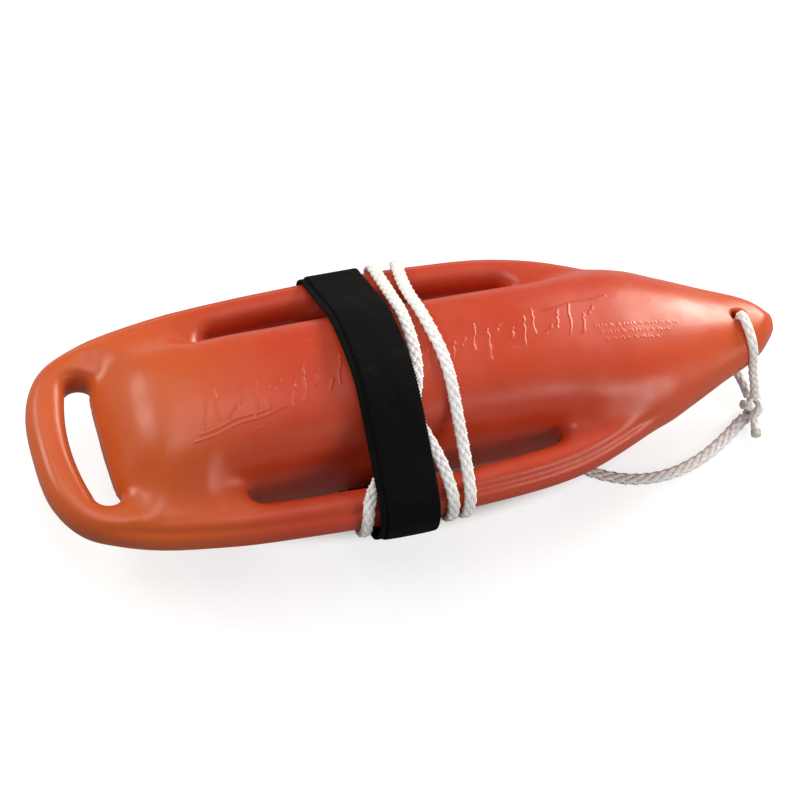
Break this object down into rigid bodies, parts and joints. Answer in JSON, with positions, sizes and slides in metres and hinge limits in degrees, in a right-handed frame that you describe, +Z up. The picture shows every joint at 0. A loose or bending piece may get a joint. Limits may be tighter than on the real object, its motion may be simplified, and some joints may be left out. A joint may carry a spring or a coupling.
{
  "type": "rescue can",
  "caption": "Boat-shaped hollow lifeguard rescue float with a rear handle and side handles, a wound tow rope through its nose and a folded webbing shoulder strap.",
  "frame": {"origin": "under the middle of the hull, on the surface that the folded strap rests on", "axes": "+X from the rear handle to the nose, +Y to the left side, +Z up through the parting plane"},
  "size_m": [0.711, 0.2854, 0.17],
  "materials": {
    "hull_plastic": "satin moulded polyethylene",
    "plug_plastic": "satin",
    "seal_rubber": "matte",
    "rope_braid": "hollow-braided fibre",
    "binding_thread": "waxed thread",
    "strap_webbing": "woven webbing",
    "strap_thread": "sewing thread"
  },
  "bodies": {
    "root": {"hull": "hull_plastic", "vent_plug": "plug_plastic", "vent_seal": "seal_rubber", "tow_rope": "rope_braid", "nose_loop": "rope_braid", "nose_knot": "rope_braid", "nose_tail_whipping": "binding_thread", "strap_knot": "rope_braid", "strap_tail_whipping": "binding_thread", "shoulder_strap": "strap_webbing", "strap_stitching": "strap_thread"}
  },
  "joints": []
}
